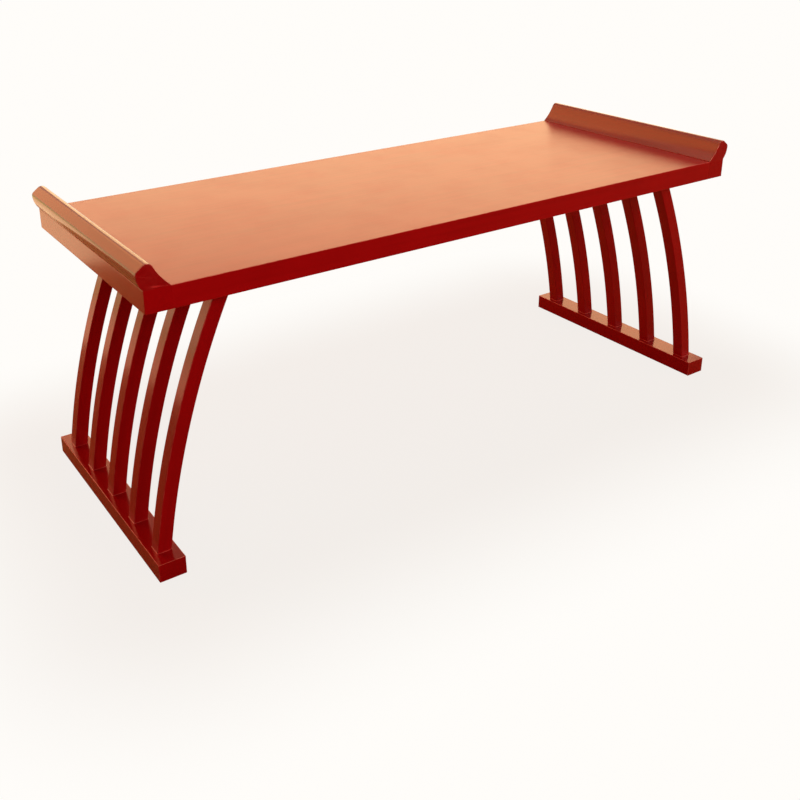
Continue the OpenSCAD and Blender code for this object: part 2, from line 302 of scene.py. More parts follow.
def add_flange(side):
    """The profile from front to back. At each end the inset is r (1 - sin a) and the distance
    from the end face r (1 - cos a), and the normal is sin a times the profile's normal plus
    cos a times the end's direction. A point's arris distance is its way to the crest or round
    the soft arris, from a = 45 degrees, whichever is shorter, and only the second one on the
    edge of an end face."""
    turn = np.linspace(0, math.pi / 2, ARRIS_STEPS + 1)
    both = np.concatenate([turn, turn[::-1]])
    setback = HALF_DEPTH - FLANGE_ARRIS * (1 - np.cos(turn))
    y = np.concatenate([-setback, setback[::-1]])
    outline, outward = flange_profile(FLANGE_ARRIS * (1 - np.sin(both)))
    depth = np.broadcast_to(y[:, None], outline.shape[:2])
    rings = np.stack([side * (END + outline[..., 0]), depth, TOP + outline[..., 1]], -1)
    lean = np.sin(both)[:, None, None] * outward
    facing = np.sign(depth) * np.cos(both)[:, None]
    normals = np.stack([side * lean[..., 0], facing, lean[..., 1]], -1)
    flat = np.zeros((len(y) - 1, outline.shape[1]), bool)
    flat[:, [0, -1]] = True
    middle = outline[ARRIS_STEPS]
    crest = middle[middle[:, 1].argmax()]
    from_crest = np.linalg.norm(middle - crest, axis=1) + CREST_SOFTNESS
    from_end = FLANGE_ARRIS * np.abs(both - math.pi / 4)
    from_end[[ARRIS_STEPS, ARRIS_STEPS + 1]] = HALF_DEPTH
    arris = np.minimum(from_end[:, None], from_crest[None, :])
    arris[[0, -1]] = from_end[0]
    grain = np.stack([depth, rings[..., 0], rings[..., 2]], -1)
    name = SIDE_NAMES[side]
    piece = add_rings(f"{name}_flange_moulding", rings, normals, flat, arris, grain)
    return stands_for(piece, f"{name}_flange")


flanges = [add_flange(side) for side in (LEFT, RIGHT)]

# %% [markdown]
# ## Bowed slats
# Each slat is bent to one arc, with softly rounded long arrises, and is cut level at both ends
# so that its shoulders seat all round an upright tenon. Where it meets the beam and the batten
# the lacquer has pooled into a thin bead. A Bezier curve with a square bevel would twist its
# ends square to the arc. Here a point of the section is a radius from the arc's centre, and
# the angle at which that radius reaches a level is exact, so the cuts are level by formula.

# %% Arc of the slats
SLAT_THICK = 0.023
SLAT_WIDTH = 0.024
SLAT_LEAN = 0.125
SLAT_BOW = 0.016
SLAT_ARRIS = 0.0014
SLAT_SHOULDER = 0.004
TENON_ARRIS = 0.0006
FOOT_TENON = 0.020
BATTEN_TENON = 0.016
BEAD = 0.0012
SLAT_COUNT = 5

rise = UNDERSIDE - FOOT_TOP
chord = math.hypot(SLAT_LEAN, rise)
ARC_RADIUS = (chord**2 / 4 + SLAT_BOW**2) / (2 * SLAT_BOW)
chord_tilt = math.atan(SLAT_LEAN / rise)
ARC_X = FOOT_X - SLAT_LEAN / 2 - (ARC_RADIUS - SLAT_BOW) * math.cos(chord_tilt)
ARC_Z = FOOT_TOP + rise / 2 - (ARC_RADIUS - SLAT_BOW) * math.sin(chord_tilt)
BATTEN_X = ARC_X + math.sqrt(ARC_RADIUS**2 - (BATTEN_LEVEL - ARC_Z) ** 2)
print("slats' arc: radius", round(ARC_RADIUS, 4), "about", round(ARC_X, 4), round(ARC_Z, 4))

# %% Section of a slat
CORNER_STEPS = 6
FLAT_SHARE = 0.3


def soft_rectangle():
    """A rectangle with round corners as signs and directions: a point is signs * (half - r) +
    directions * r. Each corner has an arc and a point on the flat at either side of it, where
    one sign shrinks to FLAT_SHARE. The first and last points lie on the same flat. With them
    comes each point's angle from the middle of its arc."""
    turns = np.radians([180, 270, 0, 90])[:, None] + np.linspace(0, math.pi / 2, CORNER_STEPS + 1)
    turns = np.concatenate([turns[:, :1], turns, turns[:, -1:]], 1)
    corners = np.array([[-1, -1], [1, -1], [1, 1], [-1, 1]], float)
    signs = np.repeat(corners[:, None, :], CORNER_STEPS + 3, 1)
    signs[[0, 2], 0, 1] *= FLAT_SHARE
    signs[[1, 3], 0, 0] *= FLAT_SHARE
    signs[[0, 2], -1, 0] *= FLAT_SHARE
    signs[[1, 3], -1, 1] *= FLAT_SHARE
    directions = np.stack([np.cos(turns), np.sin(turns)], -1)
    bend = np.abs(np.linspace(-1, 1, CORNER_STEPS + 1)) * math.pi / 4
    bend = np.concatenate([[math.pi / 4], bend, [math.pi / 4]])
    return signs.reshape(-1, 2), directions.reshape(-1, 2), np.tile(bend, 4)


signs, directions, bends = soft_rectangle()
halves = np.array([SLAT_THICK, SLAT_WIDTH]) / 2
section = signs * (halves - SLAT_ARRIS) + directions * SLAT_ARRIS
on_flat = (1 - np.abs(signs).min(1)) * (halves.mean() - SLAT_ARRIS)
section_arris = bends * SLAT_ARRIS + on_flat
print("section:", len(section), "points,", section.min(0).round(4), "to", section.max(0).round(4))

# %% Carry the section along the arc
ALONG_STEPS = 36
BEAD_STEPS = 5

# Each slat is cut from a stretch of wood of its own, this much further along the fibres.
GRAIN_SHIFT = 0.83


def slat_body():
    """Rings and normals in the plane of the arc, for a slat with its middle at y = 0. At the
    share s of the way up, point i stands at the angle t = t_low + s (t_high - t_low), where
    t_low and t_high are the arcsines of (level - arc's z) / radius."""
    radius = ARC_RADIUS + section[:, 0]
    t_low = np.arcsin((FOOT_TOP - ARC_Z) / radius)
    t_high = np.arcsin((BATTEN_LEVEL - ARC_Z) / radius)
    bead_share = BEAD * (1 - np.cos(np.linspace(0, math.pi / 2, BEAD_STEPS + 1))) / rise
    middle = np.linspace(bead_share[-1], 1 - bead_share[-1], ALONG_STEPS)[1:-1]
    share = np.concatenate([bead_share, middle, 1 - bead_share[::-1]])[:, None]
    turn = t_low + share * (t_high - t_low)
    y = np.broadcast_to(section[:, 1], turn.shape)
    rings = np.stack([ARC_X + radius * np.cos(turn), y, ARC_Z + radius * np.sin(turn)], -1)
    across = directions[:, 0]
    side_y = np.broadcast_to(directions[:, 1], turn.shape)
    normals = np.stack([across * np.cos(turn), side_y, across * np.sin(turn)], -1)
    place = np.stack([ARC_RADIUS * turn, np.broadcast_to(section[:, 0], turn.shape), y], -1)
    return rings, normals, place


def swell_beads(rings, normals):
    """Swells both ends into a bead: at the height h = r (1 - cos a) above the joint the
    surface stands out by r (1 - sin a), and its normal turns from upright to the slat's own."""
    turn = np.linspace(0, math.pi / 2, BEAD_STEPS + 1)[:, None, None]
    upright = np.array([0, 0, 1.0])
    for ends, up in ((slice(0, BEAD_STEPS + 1), 1), (slice(-1, -BEAD_STEPS - 2, -1), -1)):
        level = normals[ends] * [1, 1, 0]
        level = level / np.linalg.norm(level, axis=-1, keepdims=True)
        rings[ends] += BEAD * (1 - np.sin(turn)) * level
        normals[ends] = np.sin(turn) * normals[ends] + np.cos(turn) * up * upright
    return rings, normals


def tenon_rings(x, levels):
    """Rings of an upright tenon, a shoulder's width inside the slat's section."""
    half = halves - SLAT_SHOULDER
    shape = signs * (half - TENON_ARRIS) + directions * TENON_ARRIS
    ring = np.column_stack([x + shape[:, 0], shape[:, 1], np.zeros(len(shape))])
    return ring + np.array(levels)[:, None, None] * [0, 0, 1]


body, body_normals, body_place = slat_body()
body, body_normals = swell_beads(body, body_normals)
low_tenon = tenon_rings(FOOT_X, [FOOT_TOP - FOOT_TENON, FOOT_TOP])
high_tenon = tenon_rings(BATTEN_X, [BATTEN_LEVEL, BATTEN_LEVEL + BATTEN_TENON])
print("slat:", body.shape[0], "rings of", body.shape[1], "points")


# %% Ten slats
def add_slat(side, number):
    """Slat 1 is the front one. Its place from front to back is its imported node's."""
    name = f"{SIDE_NAMES[side]}_slat_{number}"
    low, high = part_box(name)
    rings = np.concatenate([low_tenon, body, high_tenon]) * [side, 1, 1]
    rings[..., 1] += (low.y + high.y) / 2
    tenon_normals = np.zeros_like(low_tenon)
    normals = np.concatenate([tenon_normals, body_normals * [side, 1, 1], tenon_normals])
    flat = np.zeros((len(rings) - 1, len(section)), bool)
    flat[[0, 1, -2, -1]] = True
    # Near a joint the distance is to the joint, so the bead takes the pale arris colour: a painted
    # highlight where the slat meets the beam and the batten.
    from_joint = np.minimum(rings[..., 2] - FOOT_TOP, BATTEN_LEVEL - rings[..., 2])
    arris = np.minimum(section_arris, np.abs(from_joint))
    place = np.concatenate([body_place[[0, 0]], body_place, body_place[[-1, -1]]])
    grain = place + [GRAIN_SHIFT * (number + SLAT_COUNT * (side == RIGHT)), 0, 0]
    piece = add_rings(f"{name}_bowed", rings, normals, flat, arris, grain)
    return stands_for(piece, name)


slats = [add_slat(side, number) for side in (LEFT, RIGHT) for number in range(1, SLAT_COUNT + 1)]
print("slats:", len(slats))

# %% [markdown]
# ## Small helpers for node trees
# A procedural finish is a tree of small nodes. Written out one by one they hide the idea, so a
# few helpers add a node, join its sockets and hand back its result.


# %% Node helpers
def join(tree, value, socket):
    """Links another node's output to a socket, or sets the socket to a plain value."""
    if isinstance(value, bpy.types.NodeSocket):
        tree.links.new(value, socket)
    else:
        socket.default_value = value


def work_out(tree, operation, *values, kind="ShaderNodeMath"):
    """The result of a Math node, or of another kind with the same form."""
    node = tree.nodes.new(kind)
    node.operation = operation
    for socket, value in zip(node.inputs, values):
        join(tree, value, socket)
    return node.outputs[0]


def work_out_vector(tree, operation, *values):
    """The result of a Vector Math node: the same sum for X, Y and Z at once."""
    return work_out(tree, operation, *values, kind="ShaderNodeVectorMath")


def noise(tree, place, scale, detail=2.0, roughness=0.5):
    """Soft noise from 0 to 1, with about scale lumps to the metre."""
    node = tree.nodes.new("ShaderNodeTexNoise")
    settings = {"Vector": place, "Scale": scale, "Detail": detail, "Roughness": roughness}
    for label, value in settings.items():
        join(tree, value, node.inputs[label])
    return node.outputs[0]


def remap(tree, value, low, high, to_low=0.0, to_high=1.0):
    """Carries low to high over to to_low to to_high along a smooth step, and clamps."""
    node = tree.nodes.new("ShaderNodeMapRange")
    node.interpolation_type = "SMOOTHSTEP"
    for socket, item in zip(node.inputs, (value, low, high, to_low, to_high)):
        join(tree, item, socket)
    return node.outputs[0]


def blend(tree, share, first, second):
    """A colour between two colours."""
    node = tree.nodes.new("ShaderNodeMix")
    node.data_type = "RGBA"
    for label, value in (("Factor_Float", share), ("A_Color", first), ("B_Color", second)):
        join(tree, value, next(s for s in node.inputs if s.identifier == label))
    return next(s for s in node.outputs if s.identifier == "Result_Color")


# %% Group helpers
NUMBER, VECTOR, COLOUR = "NodeSocketFloat", "NodeSocketVector", "NodeSocketColor"


def new_group(name, inputs, outputs):
    """A shader node group whose sockets have the given names, types and first values."""
    group = bpy.data.node_groups.new(name, "ShaderNodeTree")
    for label, kind in outputs.items():
        group.interface.new_socket(label, in_out="OUTPUT", socket_type=kind)
    for label, (kind, value) in inputs.items():
        group.interface.new_socket(label, in_out="INPUT", socket_type=kind).default_value = value
    given = group.nodes.new("NodeGroupInput").outputs
    result = group.nodes.new("NodeGroupOutput").inputs
    return group, given, result


def place_group(tree, group, **values):
    """A group's node in a tree, with its named inputs joined. Underscores stand for spaces."""
    node = tree.nodes.new("ShaderNodeGroup")
    node.node_tree = group
    for label, value in values.items():
        join(tree, value, node.inputs[label.replace("_", " ")])
    return node.outputs


print("sockets of the groups:", NUMBER, VECTOR, COLOUR)

# %% [markdown]
# ## Distance from the arrises
# Lacquer is thin on an arris and gets rubbed there first, and the pale colour laid on the arrises
# is also a painted highlight for the bright lines they catch. Pointiness could find the arrises,
# but it depends on how finely a mesh is divided, and a board has few points. So the new pieces
# carry the distance from the nearest arris as an attribute. The imported pieces are boxes with
# eased edges, so it can be worked out from the place on the surface: of the three distances to
# the box's faces, the smallest is about nothing and the middle one is the distance to the
# arris. The table is the same at both ends, so x is taken without its sign, and one box serves
# both.


# %% Arris group
def make_arris_group():
    """Middle one of the distances to a box's faces: max(min(a, b), min(max(a, b), c))."""
    group, given, result = new_group(
        "arris of a box",
        {"Place": (VECTOR, (0, 0, 0)), "Low": (VECTOR, (0, 0, 0)), "High": (VECTOR, (1, 1, 1))},
        {"Distance": NUMBER},
    )
    parts = group.nodes.new("ShaderNodeSeparateXYZ")
    join(group, given["Place"], parts.inputs[0])
    folded = group.nodes.new("ShaderNodeCombineXYZ")
    join(group, work_out(group, "ABSOLUTE", parts.outputs[0]), folded.inputs[0])
    join(group, parts.outputs[1], folded.inputs[1])
    join(group, parts.outputs[2], folded.inputs[2])
    above = work_out_vector(group, "SUBTRACT", folded.outputs[0], given["Low"])
    below = work_out_vector(group, "SUBTRACT", given["High"], folded.outputs[0])
    nearest = group.nodes.new("ShaderNodeSeparateXYZ")
    join(group, work_out_vector(group, "MINIMUM", above, below), nearest.inputs[0])
    a, b, c = nearest.outputs
    smaller = work_out(group, "MINIMUM", a, b)
    larger = work_out(group, "MINIMUM", work_out(group, "MAXIMUM", a, b), c)
    join(group, work_out(group, "MAXIMUM", smaller, larger), result["Distance"])
    return group


arris_group = make_arris_group()
print("group:", arris_group.name, "with", len(arris_group.nodes), "nodes")

# %% [markdown]
# ## Wood fibres
# The wood shows twice: bare on the dowels and tongues inside, and faintly through the lacquer
# as long streaks. Both use one group. A Wave texture could draw the fibres, but its bands are
# too even for wood. Here noise is stretched along the fibres by dividing the place by the
# fibres' length in one direction and by their width in the other two.

# %% Fibre group
PORE_FINENESS = 6.0
PORE_CUT = (0.60, 0.72)


def make_fibre_group():
    """Streaks are noise of place / (length, width, width), and pores are finer noise cut off."""
    group, given, result = new_group(
        "wood fibres",
        {
            "Place": (VECTOR, (0, 0, 0)),
            "Fibre Length": (NUMBER, 0.3),
            "Fibre Width": (NUMBER, 0.006),
        },
        {"Streaks": NUMBER, "Pores": NUMBER},
    )
    size = group.nodes.new("ShaderNodeCombineXYZ")
    for socket, label in zip(size.inputs, ("Fibre Length", "Fibre Width", "Fibre Width")):
        join(group, given[label], socket)
    stretched = work_out_vector(group, "DIVIDE", given["Place"], size.outputs[0])
    join(group, noise(group, stretched, 1.0, detail=5.0, roughness=0.62), result["Streaks"])
    pores = noise(group, stretched, PORE_FINENESS)
    join(group, remap(group, pores, *PORE_CUT), result["Pores"])
    return group


fibre_group = make_fibre_group()
print("group:", fibre_group.name, "with", len(fibre_group.nodes), "nodes")

# %% [markdown]
# ## The lacquer film
# Real lacquer isn't one flat red. Brushed coats vary a little in thickness, and the arrises
# take a pale colour that is partly lacquer rubbed thin by hands and sleeves and partly a painted
# highlight for the bright lines they catch, fading out on those that look down. The surface has
# a faint waviness that makes reflections waver. A painted map could hold all of that for one
# piece. A few noises at different scales, with the bump in metres of real height, suit a wide
# board and a narrow slat alike. The shade value is painted shade: it darkens the film of pieces
# that less light reaches.

# %% Film group
FILM_RED = (0.47, 0.0018, 0.0042, 1)
DEEP_RED = (0.40, 0.0014, 0.0034, 1)
# The pale arris colour: partly rubbed lacquer, partly a painted highlight.
WORN_AND_HIGHLIGHT_RED = (0.95, 0.19, 0.16, 1)
PAINTED_SHADE_BLACK = (0, 0, 0, 1)

# Lumps to the metre in the clouds of colour, the patches of the pale arris colour, the smudges
# and the waves.
CLOUD_SCALE, PATCH_SCALE, SMUDGE_SCALE, WAVE_SCALE = 7.0, 60.0, 16.0, 38.0
STREAK_SHARE, CLOUD_SHARE = 0.55, 0.6
RUBBED_ROUGHNESS = 0.10
WAVE_HEIGHT, STREAK_HEIGHT = 1.4e-5, 2.5e-6

# Where a mask starts and where it is full: the deep red by the film's depth, the patches and
# the smudges by their noise, and the arrises that take the pale colour, rubbed lacquer and
# painted highlight, by the Z of the surface's normal.
DEEP_FROM_TO, PATCH_FROM_TO, SMUDGE_FROM_TO = (0.42, 0.78), (0.38, 0.62), (0.35, 0.75)
TOUCHED_AND_LIT_FROM_TO = (-0.4, 0.5)
LEAST_WORN_OR_HIGHLIT = 0.35
SMUDGE_ROUGHNESS = (-0.01, 0.02)


def make_film_group():
    """Colour, roughness and height of the film at a place in the wood. The share that takes the
    pale arris colour, partly rubbed lacquer and partly painted highlight, is nearness to an arris
    times patchiness times the wear setting, and nothing where the surface looks down. The shade
    value blends the film a little towards black, which is painted shade. The height is wide waves
    and, far lower, the fibres' streaks."""
    group, given, result = new_group(
        "lacquer film",
        {
            "Place": (VECTOR, (0, 0, 0)),
            "Arris Distance": (NUMBER, 1.0),
            "Arris Reach": (NUMBER, 0.0011),
            "Wear": (NUMBER, 0.5),
            "Gloss": (NUMBER, 0.17),
            "Shade": (NUMBER, 0.13),
        },
        {"Colour": COLOUR, "Roughness": NUMBER, "Height": NUMBER},
    )
    fibres = place_group(group, fibre_group, Place=given["Place"])
    cloud = noise(group, given["Place"], CLOUD_SCALE, detail=3.0, roughness=0.55)
    cloud = work_out(group, "MULTIPLY", cloud, CLOUD_SHARE)
    depth = work_out(group, "MULTIPLY_ADD", fibres["Streaks"], STREAK_SHARE, cloud)
    film = blend(group, remap(group, depth, *DEEP_FROM_TO), FILM_RED, DEEP_RED)
    # Painted shade: the film of pieces that less light reaches is blended towards black.
    film = blend(group, given["Shade"], film, PAINTED_SHADE_BLACK)
    near = work_out(group, "DIVIDE", given["Arris Distance"], given["Arris Reach"])
    near = remap(group, near, 1.0, 0.0)
    patchy = noise(group, given["Place"], PATCH_SCALE, detail=3.0, roughness=0.6)
    patchy = remap(group, patchy, *PATCH_FROM_TO, LEAST_WORN_OR_HIGHLIT, 1.0)
    upward = group.nodes.new("ShaderNodeSeparateXYZ")
    join(group, group.nodes.new("ShaderNodeNewGeometry").outputs["Normal"], upward.inputs[0])
    touched_and_lit = remap(group, upward.outputs[2], *TOUCHED_AND_LIT_FROM_TO)
    # Partly rubbed lacquer and partly a painted highlight, on arrises that look up or sideways.
    worn_and_highlight = work_out(group, "MULTIPLY", work_out(group, "MULTIPLY", near, patchy), given["Wear"])
    worn_and_highlight = work_out(group, "MULTIPLY", worn_and_highlight, touched_and_lit)
    join(group, blend(group, worn_and_highlight, film, WORN_AND_HIGHLIGHT_RED), result["Colour"])
    smudge = noise(group, given["Place"], SMUDGE_SCALE, detail=4.0, roughness=0.6)
    smudge = remap(group, smudge, *SMUDGE_FROM_TO, *SMUDGE_ROUGHNESS)
    rough = work_out(group, "ADD", given["Gloss"], smudge)
    rough = work_out(group, "MULTIPLY_ADD", worn_and_highlight, RUBBED_ROUGHNESS, rough)
    join(group, rough, result["Roughness"])
    waves = noise(group, given["Place"], WAVE_SCALE, detail=1.0)
    waves = work_out(group, "MULTIPLY", waves, WAVE_HEIGHT)
    height = work_out(group, "MULTIPLY_ADD", fibres["Streaks"], STREAK_HEIGHT, waves)
    join(group, height, result["Height"])
    return group


film_group = make_film_group()
print("group:", film_group.name, "with", len(film_group.nodes), "nodes")

# %% [markdown]
# ## Materials
# One shader serves all lacquered pieces. What differs is where the fibres run and how far the
# arrises are. The reflection of a deep red film seen from straight ahead is tinted, but at a
# grazing angle it is as pale as the room, which is why the top and the left sides look salmon
# while the front stays dark red. Two shaders mixed by angle could show that, but the Specular
# Tint of one Principled shader does it by itself. The long faces of the mouldings have a
# clearer top coat, which mirrors the room nearly untinted from straight ahead too. Their flat
# front and back ends are as deep as the boards' edges.


# %% Places, attributes and a shader
def object_place(tree, along_y):
    """Places on the table, with the fibres along X: turned a quarter where they run along Y."""
    place = tree.nodes.new("ShaderNodeTexCoord").outputs["Object"]
    if not along_y:
        return place, place
    mapping = tree.nodes.new("ShaderNodeMapping")
    mapping.inputs["Rotation"].default_value = (0, 0, math.radians(-90))
    join(tree, place, mapping.inputs["Vector"])
    return place, mapping.outputs[0]


def attribute(tree, name, output):
    """The value that a new piece carries under a name."""
    node = tree.nodes.new("ShaderNodeAttribute")
    node.attribute_name = name
    return node.outputs[output]


def new_shader(name):
    """A material with a Principled shader whose normal comes from a height in metres."""
    material = bpy.data.materials.new(name)
    material.use_nodes = True
    tree = material.node_tree
    shader = next(node for node in tree.nodes if node.type == "BSDF_PRINCIPLED")
    bump = tree.nodes.new("ShaderNodeBump")
    bump.inputs["Distance"].default_value = 1.0
    tree.links.new(bump.outputs[0], shader.inputs["Normal"])
    return material, tree, shader, bump


# %% Lacquer
LACQUER_IOR = 1.5
DEEP_TINT = (1.0, 0.04, 0.04, 1)
CLEAR_TINT = (1.0, 0.80, 0.60, 1)


def lacquer(name, box=None, along_y=False, tint=DEEP_TINT, **film_values):
    """Red lacquer. With a box, the arrises are the box's, and otherwise the piece carries them.
    film_values are values of the film group, which has its own for those left out."""
    material, tree, shader, bump = new_shader(name)
    if box is None:
        grain, distance = attribute(tree, "grain", "Vector"), attribute(tree, "arris", "Fac")
    else:
        place, grain = object_place(tree, along_y)
        distance = place_group(tree, arris_group, Place=place, Low=box[0], High=box[1])["Distance"]
    film = place_group(tree, film_group, Place=grain, Arris_Distance=distance, **film_values)
    join(tree, film["Colour"], shader.inputs["Base Color"])
    join(tree, film["Roughness"], shader.inputs["Roughness"])
    join(tree, film["Height"], bump.inputs["Height"])
    shader.inputs["IOR"].default_value = LACQUER_IOR
    shader.inputs["Specular Tint"].default_value = tint
    return material


# %% Lacquer materials
TOP_BOX = ((-END, -HALF_DEPTH, UNDERSIDE), (END, HALF_DEPTH, TOP))
FOOT_BOX = (tuple(foot_low), tuple(foot_high))
BATTEN_BOX = (tuple(batten_low), (batten_high.x, batten_high.y, UNDERSIDE))
# The shade value is painted shade: the foot beams, the slats, the battens and the moulding ends
# get a darker film than the boards and cleats, because less light reaches them. The wear value
# also sets how strongly the arrises take the painted highlight.
board_lacquer = lacquer("red_lacquer_boards", TOP_BOX, Wear=0.8, Gloss=0.30, Shade=0.0)
cleat_lacquer = lacquer("red_lacquer_cleats", TOP_BOX, along_y=True, Wear=0.1, Shade=0.0)
foot_lacquer = lacquer(
    "red_lacquer_foot_beams", FOOT_BOX, along_y=True, Wear=1.0, Arris_Reach=0.0013, Shade=0.2
)
batten_lacquer = lacquer("red_lacquer_battens", BATTEN_BOX, along_y=True, Wear=0.0, Shade=0.05)
moulding_lacquer = lacquer("red_lacquer_mouldings", tint=CLEAR_TINT, Wear=0.9)
end_lacquer = lacquer("red_lacquer_moulding_ends")
slat_lacquer = lacquer("red_lacquer_slats", Wear=0.35, Arris_Reach=0.0014)
print("lacquers:", [name for name in bpy.data.materials.keys() if name.startswith("red_lacquer_")])

# %% [markdown]
# ## Bare wood inside
# The loose tongues and the dowels are sealed in their joints and never see lacquer. They keep
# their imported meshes. One plain brown could do for pieces that hardly ever show, but the fibre
# group is there already, so they get a pale straight-grained wood with pores.

# %% Bare wood
PALE_WOOD = (0.56, 0.38, 0.20, 1)
LATE_WOOD = (0.36, 0.21, 0.10, 1)
WOOD_FIBRES = {"Fibre_Length": 0.12, "Fibre_Width": 0.002}
LATE_FROM_TO = (0.35, 0.7)
SHEEN_FROM_TO = (0.3, 0.7)
WOOD_ROUGHNESS = (0.62, 0.78)
PORE_HEIGHT = -4e-5


def bare_wood(name, upright):
    """Pale wood with darker streaks and pores. Upright wood has its fibres along Z."""
    material, tree, shader, bump = new_shader(name)
    place = tree.nodes.new("ShaderNodeTexCoord").outputs["Object"]
    mapping = tree.nodes.new("ShaderNodeMapping")
    mapping.inputs["Rotation"].default_value = (0, math.radians(90) if upright else 0, 0)
    join(tree, place, mapping.inputs["Vector"])
    fibres = place_group(tree, fibre_group, Place=mapping.outputs[0], **WOOD_FIBRES)
    wood = blend(tree, remap(tree, fibres["Streaks"], *LATE_FROM_TO), PALE_WOOD, LATE_WOOD)
    join(tree, blend(tree, fibres["Pores"], wood, LATE_WOOD), shader.inputs["Base Color"])
    rough = remap(tree, fibres["Streaks"], *SHEEN_FROM_TO, *WOOD_ROUGHNESS)
    join(tree, rough, shader.inputs["Roughness"])
    join(tree, work_out(tree, "MULTIPLY", fibres["Pores"], PORE_HEIGHT), bump.inputs["Height"])
    return material


tongue_wood = bare_wood("bare_wood_tongues", upright=False)
dowel_wood = bare_wood("bare_wood_dowels", upright=True)
print("bare woods:", tongue_wood.name, dowel_wood.name)

# %% [markdown]
# ## Finish every piece
# Each piece now takes the finish that it has on the real table. The plain materials that the
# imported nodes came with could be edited, but a new one in the slot leaves them as they came.
# On a flange, the faces that look straight to the front or the back take the deeper lacquer
# of the ends.

# %% Finish every piece
# The least that a face's normal has along Y where the face belongs to an end.
END_FACING = 0.999

packed_finish = {
    "top_board_front": board_lacquer,
    "top_board_middle": board_lacquer,
    "top_board_back": board_lacquer,
    "front_loose_tongue": tongue_wood,
    "back_loose_tongue": tongue_wood,
}
for side_name in SIDE_NAMES.values():
    packed_finish[f"{side_name}_end_cleat"] = cleat_lacquer
    packed_finish[f"{side_name}_batten"] = batten_lacquer
    packed_finish[f"{side_name}_foot_beam"] = foot_lacquer
    packed_finish[f"{side_name}_flange_dowels"] = dowel_wood
for node_name, material in packed_finish.items():
    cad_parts[node_name].material_slots[0].material = material
for piece in slats:
    piece.data.materials.append(slat_lacquer)
for piece in flanges:
    piece.data.materials.append(moulding_lacquer)
    piece.data.materials.append(end_lacquer)
    polygons = piece.data.polygons
    facing = np.empty(len(polygons) * 3)
    polygons.foreach_get("normal", facing)
    is_end = np.abs(facing[1::3]) > END_FACING
    polygons.foreach_set("material_index", is_end.astype(np.int32))
print("packed nodes with a finish:", len(packed_finish), "new pieces:", len(flanges) + len(slats))

# %% [markdown]
# ## Floor
# Glossy red mirrors whatever lies around it. On a white floor its upright faces would wash out
# to pink, so the table stands on a matt tan sheet that lies on a brown floor. The sheet is a
# wedge that opens away from the viewer. One plane with a mask could show both tones, but two
# pieces keep each material plain.

# %% Floor and sheet
FLOOR_RADIUS = 14.0
FLOOR_RINGS, FLOOR_SPOKES = 10, 72
SHEET_THICK = 0.001
SHEET_CORNERS = ((-0.97, -0.48), (-0.17, -1.05), (7.80, 4.20), (5.20, 10.50), (1.55, 9.50))


def add_stage(name, points, faces):
    """A flat piece of the stage, which isn't part of the table."""
    mesh = bpy.data.meshes.new(name)
    mesh.from_pydata(points, [], faces)
    piece = bpy.data.objects.new(name, mesh)
    bpy.context.scene.collection.objects.link(piece)
    return piece


def add_floor():
    """Rings of radius R * (i / n) squared, and a fan of triangles at the centre."""
    radius = FLOOR_RADIUS * (np.arange(1, FLOOR_RINGS + 1) / FLOOR_RINGS) ** 2
    turn = np.linspace(0, 2 * math.pi, FLOOR_SPOKES, endpoint=False)
    x, y = radius[:, None] * np.cos(turn), radius[:, None] * np.sin(turn)
    rings = np.stack([x, y, np.full(x.shape, -SHEET_THICK)], -1).reshape(-1, 3)
    points = rings.tolist() + [[0, 0, -SHEET_THICK]]
    here = np.arange(FLOOR_SPOKES)
    centre = np.full(FLOOR_SPOKES, len(rings))
    fan = np.stack([centre, here, (here + 1) % FLOOR_SPOKES], -1)
    quads = band_faces(FLOOR_RINGS, FLOOR_SPOKES)[:, ::-1]
    return add_stage("floor", points, fan.tolist() + quads.tolist())


def add_sheet():
    """One flat face through SHEET_CORNERS, at the height where the table stands."""
    points = [(x, y, 0) for x, y in SHEET_CORNERS]
    return add_stage("tan_sheet", points, [tuple(range(len(points)))])


floor, sheet = add_floor(), add_sheet()
print("faces of the floor:", len(floor.data.polygons), "and the sheet:", len(sheet.data.polygons))

# %% Matt finish
FLOOR_BROWN = (0.40, 0.21, 0.09, 1)
SHEET_TAN = (0.52, 0.29, 0.13, 1)
FLOOR_ROUGHNESS, SHEET_ROUGHNESS = 0.6, 0.85
TONE_SCALE, TOOTH_SCALE = 0.7, 400.0
TONE_FROM_TO = (0.3, 0.7)
DARKER_TONE = 0.97
TOOTH_HEIGHT = 2e-5
MATT_SPECULAR = 0.2


def matt_finish(name, colour, roughness):
    """A matt surface with a fine tooth and a very slight change of tone."""
    material, tree, shader, bump = new_shader(name)
    place = tree.nodes.new("ShaderNodeTexCoord").outputs["Object"]
    tone = remap(tree, noise(tree, place, TONE_SCALE), *TONE_FROM_TO)
    darker = tuple(DARKER_TONE * part for part in colour[:3]) + (1,)
    join(tree, blend(tree, tone, colour, darker), shader.inputs["Base Color"])
    tooth = work_out(tree, "MULTIPLY", noise(tree, place, TOOTH_SCALE), TOOTH_HEIGHT)
    join(tree, tooth, bump.inputs["Height"])
    shader.inputs["Roughness"].default_value = roughness
    shader.inputs["Specular IOR Level"].default_value = MATT_SPECULAR
    return material, tree, shader, place


matt_brown = matt_finish("brown_floor", FLOOR_BROWN, FLOOR_ROUGHNESS)
matt_tan = matt_finish("tan_sheet", SHEET_TAN, SHEET_ROUGHNESS)
print("matt finishes:", matt_brown[0].name, matt_tan[0].name)

# %% [markdown]
# ## Backdrop
# A pale backdrop's colour is laid over the floor and the sheet for the camera: nearly all of it
# beside the table, so that a soft shadow is left there, and all of it further out, so that no
# lamp leaves a mark. A curved studio wall could do that from one side only, and the table is
# looked at from all sides. Reflections see the tan and the brown near the table, as they would
# see a wooden floor, and the backdrop only from further out.

